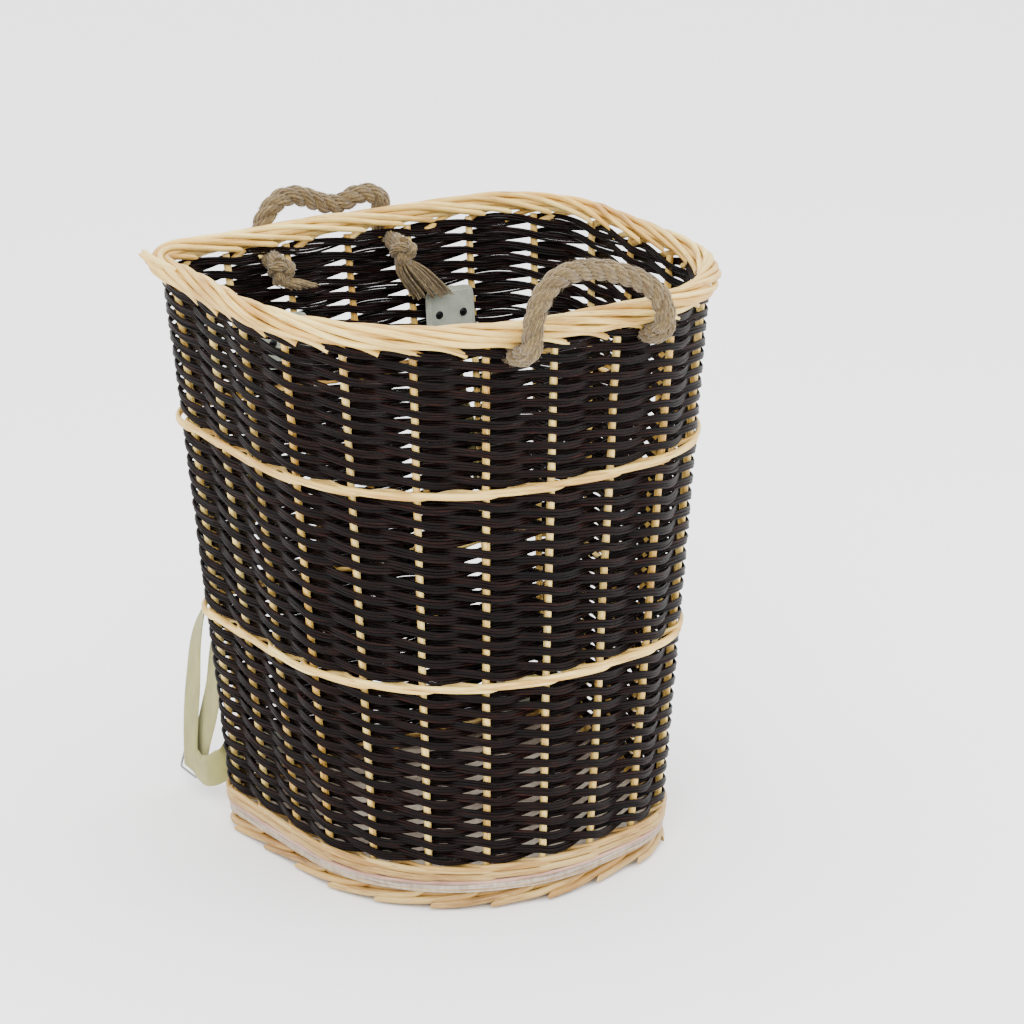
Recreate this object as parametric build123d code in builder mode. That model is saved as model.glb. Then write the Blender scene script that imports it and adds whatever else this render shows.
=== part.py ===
from build123d import *
import math
import os

os.makedirs("parts", exist_ok=True)

# Willow carrying basket, D-shaped in plan, standing on its woven foot.
# X is the width, +Y the flat back that lies against the wearer, +Z is up.
# The origin is on the ground below the middle of the basket. Millimetres.

# Heights of the layers, from the ground to the top of the rim
BOARD_BOTTOM = 22
BOARD_TOP = 31
WALE_TOP = 54
BAND_LOWER_BOTTOM = 266
BAND_LOWER_TOP = 275
BAND_UPPER_BOTTOM = 493
BAND_UPPER_TOP = 503
RIM_BOTTOM = 665
RIM_TOP = 690

# Plan at the rim: 570 wide and 510 deep. Corners run back left, back middle,
# back right, front right, front middle, front left.
RIM_CORNERS = [(-278, 261), (0, 272), (269, 262), (264, -201), (0, -216), (-274, -201)]
RIM_RADII = [62, 3000, 125, 195, 560, 240]

# Plan at the board, where the basket is narrower
BASE_CORNERS = [(-235, 195), (0, 201), (250, 195), (186, -150), (0, -198), (-203, -152)]
BASE_RADII = [42, 2500, 60, 120, 200, 196]

# Wall and rods
WALL_OUTSET = 3
WALL_THICKNESS = 16
STAKE_COUNT = 22
STAKE_RADIUS = 4.2
STAKE_INSET = 5
STAKE_HOLE_RADIUS = 4.5
STAKE_LEAN = 0.012
RIM_OUTSET = 12
RIM_WIDTH = 27
FOOT_OUTSET = 3
FOOT_WIDTH = 30
BAND_OUTSET = 5

# Rope handles: the rope leaves the wall just under the rim, turns up outside
# it and arches over. Each handle folds outwards at FOLD_Z, where the fixed end
# is rounded and the arch starts FOLD_CLEARANCE higher, so that it can lie flat.
ROPE_RADIUS = 12
ROPE_HOLE_RADIUS = 12.5
ROPE_Z = 650
FOLD_Z = 676
FOLD_CLEARANCE = 13
KNOT_RADIUS = 17
KNOT_DROP = 7
FRONT_ROUTE = [
    (-70, -180, ROPE_Z),
    (-70, -244, ROPE_Z),
    (-70, -244, 700),
    (-42, -236, 738),
    (10, -230, 742),
    (70, -236, 722),
    (96, -244, 696),
    (96, -244, ROPE_Z),
    (96, -180, ROPE_Z),
]
BACK_ROUTE = [
    (-117, 232, ROPE_Z),
    (-117, 298, ROPE_Z),
    (-102, 298, 698),
    (-70, 298, 717),
    (-10, 298, 688),
    (20, 299, 704),
    (55, 298, 696),
    (43, 298, ROPE_Z),
    (43, 232, ROPE_Z),
]

# Frayed rope ends hanging from the knots: bottom centre, half widths in X and Y
TASSELS = {
    "back_left": ((-96, 230, 614), 20, 11),
    "back_right": ((86, 229, 583), 22, 11),
    "front_left": ((-68, -172, 604), 20, 12),
    "front_right": ((94, -172, 604), 20, 12),
}

# Shoulder straps, given for the left side and mirrored for the right.
# A station is a point on the webbing and the direction of its width.
WEB_WIDTH = 38
WEB_THICKNESS = 2.4
WEB_OUT = 4.4
SWING_TOP = 330
SWING_X = 182
ALONG_X = (1, 0, 0)
ALONG_Y = (0, 1, 0)
ALONG_Z = (0, 0, 1)
UP_THE_WALL = (0, 0.12, 0.99)
PATCH_X = 111
PATCH_Z = 557
PATCH_SIZE = (64, 62)
TAB_X = 166
TAB_Z = 79
TAB_SIZE = (44, 46)
PATCH_THICKNESS = 2.5
PATCH_GAP = 1.6
RIVET_RADIUS = 2.5
RIVET_HEAD_RADIUS = 5
RIVET_HEAD = 1.6
RIVET_HOLE_RADIUS = 2.8
UPPER_RIVETS = [(PATCH_X - 16, PATCH_Z), (PATCH_X + 16, PATCH_Z)]
LOWER_RIVETS = [(TAB_X, TAB_Z - 10), (TAB_X, TAB_Z + 10)]
SLIDER_CENTRE = (-218, 292, 34)
SLIDER_LENGTH = 46
SLIDER_HEIGHT = 30
SLIDER_THICKNESS = 2


def wall_plan(z, inset=0):
    """Corners and corner radii of the plan at height z, moved inwards by inset."""
    share = (z - BOARD_BOTTOM) / (RIM_BOTTOM - BOARD_BOTTOM)
    pairs = zip(BASE_CORNERS, RIM_CORNERS)
    corners = [Vector(*a) * (1 - share) + Vector(*b) * share for a, b in pairs]
    radii = [a * (1 - share) + b * share - inset for a, b in zip(BASE_RADII, RIM_RADII)]
    moved = []
    for i, corner in enumerate(corners):
        before = (corners[i - 1] - corner).normalized()
        after = (corners[(i + 1) % len(corners)] - corner).normalized()
        half_angle = math.acos(before.dot(after)) / 2
        inwards = (before + after).normalized()
        moved.append(corner + inwards * (inset / math.sin(half_angle)))
    return moved, radii


def plan_wire(z, inset=0):
    """Closed outline of the basket at height z."""
    corners, radii = wall_plan(z, inset)
    points = [Vector(corner.X, corner.Y, z) for corner in corners]
    return FilletPolyline(*points, radius=radii, close=True, mode=Mode.PRIVATE)


def add_layer(bottom, top, inset, mode=Mode.ADD):
    """Solid slice of the basket between two heights, following the plan."""
    sections = []
    for z in (bottom, top):
        with BuildSketch(Plane.XY.offset(z)) as section:
            with BuildLine(Plane.XY.offset(z)):
                add(plan_wire(z, inset))
            make_face()
        sections.append(section.sketch.face())
    loft(sections, ruled=True, mode=mode)


def add_ring(bottom, top, inset, width):
    """Hollow layer of the wall."""
    add_layer(bottom, top, inset)
    add_layer(bottom, top, inset + width, mode=Mode.SUBTRACT)


def wall_point(share, z, inset):
    """Point on the plan at height z, at a share of its length from the back middle."""
    wire = plan_wire(z, inset)
    back_middle = Vector(0, wire.bounding_box().max.Y, z)
    start = wire.param_at_point(wire.closest_points(back_middle)[0])
    return wire.position_at((start + share) % 1)


def stake_line(number):
    """Foot and head of one upright stake."""
    turn = 2 * math.pi * number / STAKE_COUNT
    share = number / STAKE_COUNT - 0.0015 - 0.0065 * math.cos(turn)
    foot = wall_point(share + STAKE_LEAN, BOARD_BOTTOM, STAKE_INSET)
    head = wall_point(share, RIM_BOTTOM, STAKE_INSET)
    return foot, head


STAKES = [stake_line(number) for number in range(STAKE_COUNT)]


def cut_stake_holes():
    """Clear the stakes out of a layer of the wall."""
    for foot, head in STAKES:
        run = head - foot
        with Locations(Plane(foot - run * 0.02, z_dir=run)):
            Cylinder(
                STAKE_HOLE_RADIUS,
                run.length * 1.04,
                align=(Align.CENTER, Align.CENTER, Align.MIN),
                mode=Mode.SUBTRACT,
            )


def back_y(x, z, out=0):
    """Y of the flat back wall's outer face at a given place."""
    share = (z - BOARD_BOTTOM) / (RIM_BOTTOM - BOARD_BOTTOM)
    middle = BASE_CORNERS[1][1] * (1 - share) + RIM_CORNERS[1][1] * share
    return middle - abs(x) * (0.0255 + 0.0135 * share) + WALL_OUTSET + out


def route_radii(points):
    """Bend radius at each inner point, from the shorter run beside it and the turn."""
    radii = []
    for before, here, after in zip(points, points[1:], points[2:]):
        run_in = Vector(*here) - Vector(*before)
        run_out = Vector(*after) - Vector(*here)
        turn = math.radians(run_in.get_angle(run_out))
        radii.append(0.45 * min(run_in.length, run_out.length) / math.tan(turn / 2))
    return radii


def add_rope(points, radii):
    """Round rope along straight runs joined by tangent bends; gives its length."""
    with BuildLine() as line:
        FilletPolyline(*points, radius=radii)
    path = line.wires()[0]
    with BuildSketch(Plane(path @ 0, z_dir=path % 0)) as section:
        Circle(ROPE_RADIUS)
    sweep(section.sketch, path=path)
    return path.length


def fold_point(low, high):
    """Where the rope folds, on its rise between two route points."""
    share = (FOLD_Z - low[2]) / (high[2] - low[2])
    return tuple(Vector(*low) * (1 - share) + Vector(*high) * share)


def add_webbing(stations, side):
    """Flat webbing through its stations; side is 1 for left and -1 for right."""
    places = [Vector(x * side, y, z) for (x, y, z), width in stations]
    sections = []
    for i, (place, (point, width)) in enumerate(zip(places, stations)):
        heading = places[min(i + 1, len(places) - 1)] - places[max(i - 1, 0)]
        heading = heading.normalized()
        across = Vector(width[0] * side, width[1], width[2])
        across = across - heading * across.dot(heading)
        with BuildSketch(Plane(place, x_dir=across, z_dir=heading)) as section:
            Rectangle(WEB_WIDTH, WEB_THICKNESS)
        sections.append(section.sketch.face())
    loft(sections)


def cut_rivet_holes(places, side):
    """Round holes through the back wall for the rivets."""
    for x, z in places:
        with Locations(Plane((-x * side, 230, z), z_dir=(0, 1, 0))):
            Cylinder(RIVET_HOLE_RADIUS, 130, mode=Mode.SUBTRACT)


def save(part, name):
    part.label = name
    export_step(part, "parts/" + name + ".step")


# ------------------------------------------------------------------ base and wall

with BuildPart() as foot_border:
    add_ring(0, BOARD_BOTTOM, -FOOT_OUTSET, FOOT_WIDTH)
save(foot_border.part, "foot_border")

with BuildPart() as base_board:
    add_layer(BOARD_BOTTOM, BOARD_TOP, -FOOT_OUTSET)
    cut_stake_holes()
save(base_board.part, "base_board")

with BuildPart() as base_wale:
    add_ring(BOARD_TOP, WALE_TOP, -FOOT_OUTSET, WALL_THICKNESS + 2)
    cut_stake_holes()
save(base_wale.part, "base_wale")

with BuildPart() as weave_lower:
    add_ring(WALE_TOP, BAND_LOWER_BOTTOM, -WALL_OUTSET, WALL_THICKNESS)
    cut_stake_holes()
    for side in (1, -1):
        cut_rivet_holes(LOWER_RIVETS, side)
save(weave_lower.part, "weave_lower")

with BuildPart() as band_lower:
    add_ring(BAND_LOWER_BOTTOM, BAND_LOWER_TOP, -BAND_OUTSET, WALL_THICKNESS + 4)
    cut_stake_holes()
save(band_lower.part, "band_lower")

with BuildPart() as weave_middle:
    add_ring(BAND_LOWER_TOP, BAND_UPPER_BOTTOM, -WALL_OUTSET, WALL_THICKNESS)
    cut_stake_holes()
save(weave_middle.part, "weave_middle")

with BuildPart() as band_upper:
    add_ring(BAND_UPPER_BOTTOM, BAND_UPPER_TOP, -BAND_OUTSET, WALL_THICKNESS + 4)
    cut_stake_holes()
save(band_upper.part, "band_upper")

with BuildPart() as weave_upper:
    add_ring(BAND_UPPER_TOP, RIM_BOTTOM, -WALL_OUTSET, WALL_THICKNESS)
    cut_stake_holes()
    for route in (FRONT_ROUTE, BACK_ROUTE):
        for x, y, z in (route[0], route[-1]):
            with Locations(Plane((x, y, z), z_dir=(0, 1, 0))):
                Cylinder(ROPE_HOLE_RADIUS, 120, mode=Mode.SUBTRACT)
    for side in (1, -1):
        cut_rivet_holes(UPPER_RIVETS, side)
save(weave_upper.part, "weave_upper")

with BuildPart() as rim_border:
    add_ring(RIM_BOTTOM, RIM_TOP, -RIM_OUTSET, RIM_WIDTH)
    fillet(rim_border.edges().group_by(Axis.Z)[-1], 6)
save(rim_border.part, "rim_border")

for number, (foot, head) in enumerate(STAKES, start=1):
    with BuildPart() as stake:
        with Locations(Plane(foot, z_dir=head - foot)):
            Cylinder(
                STAKE_RADIUS,
                (head - foot).length + 40,
                align=(Align.CENTER, Align.CENTER, Align.CENTER),
            )
            Cylinder(
                STAKE_RADIUS,
                (head - foot).length + 20,
                align=(Align.CENTER, Align.CENTER, Align.MIN),
            )
        split(bisect_by=Plane.XY.offset(BOARD_BOTTOM), keep=Keep.TOP)
        split(bisect_by=Plane.XY.offset(RIM_BOTTOM), keep=Keep.BOTTOM)
    save(stake.part, f"stake_{number:02d}")

# ------------------------------------------------------------------ rope handles

for place, route in (("front", FRONT_ROUTE), ("back", BACK_ROUTE)):
    radii = route_radii(route)
    left_fold = fold_point(route[1], route[2])
    right_fold = fold_point(route[-2], route[-3])
    with BuildPart() as rope_arch:
        length = add_rope([left_fold, *route[2:-2], right_fold], radii[1:-1])
        with Locations(left_fold, right_fold):
            Box(40, 40, 2 * FOLD_CLEARANCE, mode=Mode.SUBTRACT)
    save(rope_arch.part, f"rope_{place}_arch")
    ends = (("left", route[:2], left_fold, radii[0]), ("right", route[:-3:-1], right_fold, radii[-1]))
    for hand, inside, fold, radius in ends:
        knot = Vector(*inside[0]) - Vector(0, 0, KNOT_DROP)
        with BuildPart() as rope_end:
            length += add_rope([*inside, fold], [radius])
            with Locations(fold):
                Sphere(ROPE_RADIUS - 0.05)
            with Locations(knot):
                Sphere(KNOT_RADIUS)
        save(rope_end.part, f"rope_{place}_end_{hand}")
        bottom, half_x, half_y = TASSELS[f"{place}_{hand}"]
        with BuildPart() as tassel:
            with BuildSketch(Plane(knot - Vector(0, 0, 8))) as neck:
                Ellipse(10, 9)
            with BuildSketch(Plane(bottom)) as hem:
                Ellipse(half_x, half_y)
            loft([neck.sketch.face(), hem.sketch.face()])
            with Locations(knot):
                Sphere(KNOT_RADIUS + 0.3, mode=Mode.SUBTRACT)
        save(tassel.part, f"tassel_{place}_{hand}")
    bends = ", ".join(f"{radius:.0f}" for radius in radii)
    print(f"{place} rope: {length:.0f} long, bend radii {bends}")

# ---------------------------------------------------------------- shoulder straps

WALL_WEB = [
    ((-PATCH_X, back_y(PATCH_X, 582, WEB_OUT), 582), ALONG_X),
    ((-PATCH_X, back_y(PATCH_X, 530, WEB_OUT), 530), ALONG_X),
    ((-PATCH_X - 6, back_y(PATCH_X, 480, WEB_OUT + 1), 480), ALONG_X),
    ((-136, back_y(136, 400, 10), 400), ALONG_X),
    ((-168, back_y(168, 342, 15), 342), ALONG_X),
    ((-174, back_y(174, SWING_TOP, 16), SWING_TOP), ALONG_X),
]
LOOP_WEB = [
    ((-174, back_y(174, SWING_TOP, 16), SWING_TOP), ALONG_X),
    ((-182, 250, 314), (0.97, 0.25, 0)),
    ((-203, 255, 268), (0.75, 0.66, 0)),
    ((-218, 272, 205), (0.2, 0.98, 0)),
    ((-222, 280, 140), ALONG_Y),
    ((-222.5, 291, 71), ALONG_Y),
    ((-222.5, 292, 24), ALONG_Y),
]
TAIL_WEB = [
    ((-214.8, 290, 24), ALONG_Y),
    ((-214.8, 272, 71), ALONG_Y),
    ((-215, 242, 140), ALONG_Y),
    ((-209, 240, 205), (0.2, 0.98, 0)),
    ((-194, 244, 255), (0.75, 0.66, 0)),
    ((-176, 246, 300), (0.97, 0.25, 0)),
]
TAB_WEB = [
    ((-150, back_y(150, TAB_Z, WEB_OUT), TAB_Z), UP_THE_WALL),
    ((-166, back_y(166, TAB_Z, WEB_OUT), TAB_Z), UP_THE_WALL),
    ((-SWING_X, back_y(SWING_X, TAB_Z, WEB_OUT), TAB_Z), UP_THE_WALL),
]
LOWER_WEB = [
    ((-SWING_X - 4, back_y(SWING_X + 4, TAB_Z, WEB_OUT + 0.6), TAB_Z), UP_THE_WALL),
    ((-SWING_X - 8, back_y(SWING_X + 8, TAB_Z, WEB_OUT + 1.5), TAB_Z - 0.5), UP_THE_WALL),
    ((-SWING_X - 17, back_y(SWING_X + 17, TAB_Z, WEB_OUT + 5), TAB_Z - 5), UP_THE_WALL),
    ((-212, 214, 62), (0, 0.05, 1)),
    ((-226, 234, 44), ALONG_Z),
    ((-227.5, 256, 40), (0, -0.4, 0.9)),
    ((-228, 268, 45), (0, -0.6, 0.8)),
]
WALL_LEAN = math.degrees(math.atan2(RIM_CORNERS[1][1] - BASE_CORNERS[1][1], RIM_BOTTOM - BOARD_BOTTOM))

for hand, side in (("left", 1), ("right", -1)):
    with BuildPart() as strap_top:
        add_webbing(WALL_WEB, side)
        cut_rivet_holes(UPPER_RIVETS, side)
        split(bisect_by=Plane.XY.offset(SWING_TOP + 0.5), keep=Keep.TOP)
    save(strap_top.part, f"strap_{hand}_top")

    with BuildPart() as strap_loop:
        add_webbing(LOOP_WEB, side)
        split(bisect_by=Plane.XY.offset(SWING_TOP - 0.5), keep=Keep.BOTTOM)
    save(strap_loop.part, f"strap_{hand}_loop")

    with BuildPart() as strap_tail:
        add_webbing(TAIL_WEB, side)
    save(strap_tail.part, f"strap_{hand}_tail")

    with BuildPart() as strap_tab:
        add_webbing(TAB_WEB, side)
        cut_rivet_holes(LOWER_RIVETS, side)
    save(strap_tab.part, f"strap_{hand}_foot_tab")

    with BuildPart() as strap_lower:
        add_webbing(LOWER_WEB, side)
    save(strap_lower.part, f"strap_{hand}_lower")

    anchors = (
        ("patch", PATCH_X, PATCH_Z, PATCH_SIZE, UPPER_RIVETS),
        ("foot_patch", TAB_X, TAB_Z, TAB_SIZE, LOWER_RIVETS),
    )
    for name, x, z, size, places in anchors:
        inside = back_y(x, z, -WALL_THICKNESS - PATCH_GAP - PATCH_THICKNESS / 2)
        with BuildPart() as patch:
            upright = Plane((-x * side, inside, z), x_dir=(1, 0, 0), z_dir=(0, 1, 0))
            with BuildSketch(upright.rotated((-WALL_LEAN, 0, 0))):
                RectangleRounded(*size, radius=7)
            extrude(amount=PATCH_THICKNESS / 2, both=True)
            cut_rivet_holes(places, side)
        save(patch.part, f"strap_{hand}_{name}")

    with BuildPart() as rivets:
        for x, z in UPPER_RIVETS + LOWER_RIVETS:
            inner = back_y(x, z, -WALL_THICKNESS - PATCH_GAP - PATCH_THICKNESS - 1.4)
            outer = back_y(x, z, WEB_OUT + 2.6)
            length = outer - inner + 2 * RIVET_HEAD
            upwards = (Align.CENTER, Align.CENTER, Align.MIN)
            with Locations(Plane((-x * side, inner - RIVET_HEAD, z), z_dir=(0, 1, 0))):
                Cylinder(RIVET_HEAD_RADIUS, RIVET_HEAD, align=upwards)
                Cylinder(RIVET_RADIUS, length, align=upwards)
            with Locations(Plane((-x * side, outer, z), z_dir=(0, 1, 0))):
                Cylinder(RIVET_HEAD_RADIUS, RIVET_HEAD, align=upwards)
    save(rivets.part, f"strap_{hand}_rivets")

    with BuildPart() as slider:
        frame = Plane(
            (SLIDER_CENTRE[0] * side, SLIDER_CENTRE[1], SLIDER_CENTRE[2]),
            x_dir=ALONG_Y,
            z_dir=(-side, 0, 0),
        )
        with BuildSketch(frame):
            RectangleRounded(SLIDER_LENGTH, SLIDER_HEIGHT, radius=5)
            RectangleRounded(SLIDER_LENGTH - 6, SLIDER_HEIGHT - 6, radius=3, mode=Mode.SUBTRACT)
            Rectangle(SLIDER_LENGTH - 5, 3)
        extrude(amount=SLIDER_THICKNESS / 2, both=True)
    save(slider.part, f"strap_{hand}_slider")
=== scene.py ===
import math

import bpy
import numpy as np
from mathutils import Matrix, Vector


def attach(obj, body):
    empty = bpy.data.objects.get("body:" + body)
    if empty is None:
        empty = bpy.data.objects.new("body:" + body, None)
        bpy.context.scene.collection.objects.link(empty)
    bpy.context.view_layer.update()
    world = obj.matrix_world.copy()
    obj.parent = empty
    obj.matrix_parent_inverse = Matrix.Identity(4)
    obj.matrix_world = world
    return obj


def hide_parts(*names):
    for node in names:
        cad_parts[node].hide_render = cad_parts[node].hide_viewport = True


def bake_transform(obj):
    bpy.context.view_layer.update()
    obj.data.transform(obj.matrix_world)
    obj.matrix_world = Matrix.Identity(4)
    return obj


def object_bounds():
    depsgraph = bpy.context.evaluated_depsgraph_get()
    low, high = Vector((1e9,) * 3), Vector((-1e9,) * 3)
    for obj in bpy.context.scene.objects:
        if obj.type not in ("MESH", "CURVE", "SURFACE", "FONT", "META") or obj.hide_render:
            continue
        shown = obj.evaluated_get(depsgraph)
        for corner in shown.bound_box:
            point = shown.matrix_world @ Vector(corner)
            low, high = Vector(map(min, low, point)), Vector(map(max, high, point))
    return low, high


# The look of the willow carrying basket. Everything is in metres, in the
# CAD model's own frame: X is the width, +Y the flat back, +Z is up.

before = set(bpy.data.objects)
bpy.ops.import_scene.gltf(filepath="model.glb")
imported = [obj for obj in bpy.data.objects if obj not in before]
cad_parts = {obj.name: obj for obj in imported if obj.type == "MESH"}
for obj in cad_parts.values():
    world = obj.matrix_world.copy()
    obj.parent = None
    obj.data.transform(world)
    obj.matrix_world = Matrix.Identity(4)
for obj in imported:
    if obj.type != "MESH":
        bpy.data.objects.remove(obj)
cad_low, cad_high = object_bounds()
random = np.random.default_rng(11)

# Plan of the wall, as in the CAD source: corners and corner radii at two heights
PLAN_LOW = 0.022
PLAN_HIGH = 0.665
RIM_CORNERS = np.array([
    (-278, 261), (0, 272), (269, 262), (264, -201), (0, -216), (-274, -201),
]) / 1000
RIM_RADII = np.array([62, 3000, 125, 195, 560, 240]) / 1000
BASE_CORNERS = np.array([
    (-235, 195), (0, 201), (250, 195), (186, -150), (0, -198), (-203, -152),
]) / 1000
BASE_RADII = np.array([42, 2500, 60, 120, 200, 196]) / 1000
STAKES = 22
STAKE_RADIUS = 0.0042
STAKE_INSET = 0.005
STAKE_LEAN = 0.012
SHARES = 1440
HEIGHTS = np.linspace(-0.01, 0.71, 145)


# ------------------------------------------------------------- plan of the wall

def plan_outline(z):
    """Outline at height z, sampled evenly from the back middle towards +X."""
    share = (z - PLAN_LOW) / (PLAN_HIGH - PLAN_LOW)
    corners = BASE_CORNERS * (1 - share) + RIM_CORNERS * share
    radii = BASE_RADII * (1 - share) + RIM_RADII * share
    arcs = []
    for i, corner in enumerate(corners):
        before = corners[i - 1] - corner
        after = corners[(i + 1) % len(corners)] - corner
        before = before / np.linalg.norm(before)
        after = after / np.linalg.norm(after)
        half = math.acos(before @ after) / 2
        inwards = (before + after) / np.linalg.norm(before + after)
        centre = corner + inwards * radii[i] / math.sin(half)
        first = corner + before * radii[i] / math.tan(half) - centre
        last = corner + after * radii[i] / math.tan(half) - centre
        start = math.atan2(first[1], first[0])
        turn = (math.atan2(last[1], last[0]) - start + math.pi) % (2 * math.pi) - math.pi
        angles = start + turn * np.linspace(0, 1, 40)
        arcs.append(centre + radii[i] * np.stack([np.cos(angles), np.sin(angles)], -1))
    line = np.vstack(arcs + [arcs[0][:1]])
    run = np.concatenate([[0], np.cumsum(np.linalg.norm(np.diff(line, axis=0), axis=1))])
    crossing = (line[:-1, 0] <= 0) & (line[1:, 0] > 0) & (line[:-1, 1] > 0)
    k = np.where(crossing)[0][0]
    back = run[k] + (run[k + 1] - run[k]) * (-line[k, 0]) / (line[k + 1, 0] - line[k, 0])
    wanted = (back + np.linspace(0, 1, SHARES, endpoint=False) * run[-1]) % run[-1]
    return np.stack([np.interp(wanted, run, line[:, 0]), np.interp(wanted, run, line[:, 1])], -1)


PLANS = np.array([plan_outline(z) for z in HEIGHTS])
ALONG = np.roll(PLANS, -1, axis=1) - np.roll(PLANS, 1, axis=1)
ALONG = ALONG / np.linalg.norm(ALONG, axis=2, keepdims=True)
OUTWARDS = np.stack([-ALONG[..., 1], ALONG[..., 0]], -1)


def look_up(table, share, z):
    """Value of a table over height and share, between its entries."""
    row = np.clip((z - HEIGHTS[0]) / (HEIGHTS[1] - HEIGHTS[0]), 0, len(HEIGHTS) - 1.001)
    column = (share % 1) * SHARES
    i = row.astype(int)
    j = column.astype(int) % SHARES
    a = (row - i)[:, None]
    b = (column - column.astype(int))[:, None]
    k = (j + 1) % SHARES
    low = table[i, j] * (1 - b) + table[i, k] * b
    high = table[i + 1, j] * (1 - b) + table[i + 1, k] * b
    return low * (1 - a) + high * a


def on_wall(share, z, out):
    """Points beside the wall's plan and the outward direction at each."""
    share, z, out = np.broadcast_arrays(*[np.asarray(v, float) for v in (share, z, out)])
    normal = look_up(OUTWARDS, share, z)
    normal = normal / np.linalg.norm(normal, axis=1, keepdims=True)
    flat = look_up(PLANS, share, z) + normal * out[:, None]
    up = np.zeros(len(z))
    return np.column_stack([flat, z]), np.column_stack([normal, up])


stake_numbers = np.arange(STAKES)
head_share = stake_numbers / STAKES - 0.0015 - 0.0065 * np.cos(2 * math.pi * stake_numbers / STAKES)
stake_foot = on_wall(head_share + STAKE_LEAN, PLAN_LOW, -STAKE_INSET)[0]
stake_head = on_wall(head_share, PLAN_HIGH, -STAKE_INSET)[0]


def stakes_at(z):
    """Share and outset of every stake at height z."""
    t = (z - PLAN_LOW) / (PLAN_HIGH - PLAN_LOW)
    place = (stake_foot * (1 - t) + stake_head * t)[:, :2]
    shares = np.linspace(0, 1, SHARES, endpoint=False)
    outline, normal = on_wall(shares, np.full(SHARES, z), 0)
    away = np.linalg.norm(place[:, None] - outline[None, :, :2], axis=2)
    nearest = away.argmin(1)
    guess = head_share + STAKE_LEAN * (1 - t)
    share = shares[nearest]
    share = share + np.round(guess - share)
    out = ((place - outline[nearest, :2]) * normal[nearest, :2]).sum(1)
    return share, out


def between_stakes(u, z):
    """Share and outset at u, counted in stakes, going round at height z."""
    share, out = stakes_at(z)
    lap = np.floor(u / STAKES)
    at = u - lap * STAKES
    share = np.interp(at, np.arange(STAKES + 1), np.append(share, share[0] + 1)) + lap
    out = np.interp(at, np.arange(STAKES + 1), np.append(out, out[0]))
    return share, out


# ------------------------------------------------------------------ mesh making

def smooth_noise(count, knots, low, high, closed=False):
    """Slowly changing values from low to high along a rod."""
    values = random.uniform(low, high, knots)
    if closed:
        values = np.append(values, values[0])
    at = np.linspace(0, len(values) - 1, count, endpoint=not closed)
    i = np.minimum(at.astype(int), len(values) - 2)
    t = at - i
    t = t * t * (3 - 2 * t)
    return values[i] * (1 - t) + values[i + 1] * t


def carried_normals(tangents):
    """Normals carried along a line without twisting."""
    seed = np.array([0.0, 0.0, 1.0]) if abs(tangents[0][2]) < 0.8 else np.array([1.0, 0.0, 0.0])
    normal = np.cross(tangents[0], seed)
    normal = normal / np.linalg.norm(normal)
    carried = [normal]
    for tangent in tangents[1:]:
        normal = normal - tangent * (normal @ tangent)
        normal = normal / np.linalg.norm(normal)
        carried.append(normal)
    return np.array(carried)


def directions(points, closed=False):
    if closed:
        steps = np.roll(points, -1, axis=0) - np.roll(points, 1, axis=0)
    else:
        steps = np.gradient(points, axis=0)
    return steps / np.linalg.norm(steps, axis=1, keepdims=True)


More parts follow.
